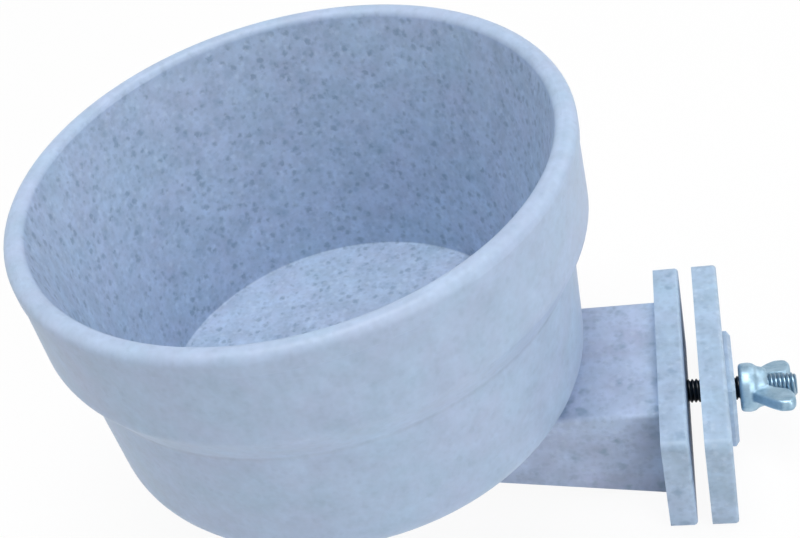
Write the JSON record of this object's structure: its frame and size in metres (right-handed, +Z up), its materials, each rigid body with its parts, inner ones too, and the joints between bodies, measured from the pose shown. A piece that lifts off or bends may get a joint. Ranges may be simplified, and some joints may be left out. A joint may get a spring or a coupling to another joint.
{
  "type": "seed cup",
  "caption": "Round speckled plastic cage cup that twist-locks onto a wedge arm, with a jaw clamp drawn up by a wing nut.",
  "frame": {"origin": "middle of the fixed jaw's clamp face, on the bolt axis", "axes": "+X along the bolt from the fixed jaw towards the wing nut, away from the cup; +Y across the jaws; +Z up, along the cup's axis"},
  "size_m": [0.1795, 0.136, 0.1005],
  "materials": {
    "speckled_plastic": "satin moulded plastic with dark and grey-blue specks",
    "black_steel": "black oxide",
    "zinc_steel": "bright zinc plate with a bluish tint"
  },
  "bodies": {
    "bracket": {"bracket": "speckled_plastic", "clamp_bolt": "black_steel"},
    "cup": {"cup": "speckled_plastic"},
    "loose_jaw": {"loose_jaw": "speckled_plastic"},
    "wing_nut": {"wing_nut": "zinc_steel"}
  },
  "joints": [
    {"name": "cup_twist", "type": "hinge", "parent": "bracket", "child": "cup", "pos_m": [-0.085, 0, 0], "axis": [0, 0, 1], "range_deg": [0, 90]},
    {"name": "jaw_slide", "type": "slide", "parent": "bracket", "child": "loose_jaw", "axis": [1, 0, 0], "range_m": [-0.00338, 0.008]},
    {"name": "nut_spin", "type": "hinge", "parent": "loose_jaw", "child": "wing_nut", "pos_m": [0, 0, 0], "axis": [1, 0, 0], "range_deg": [-1215, 2880]}
  ],
  "couplings": [
    {"joint": "jaw_slide", "follows": "nut_spin", "m_per_rad": 0.00015915}
  ]
}
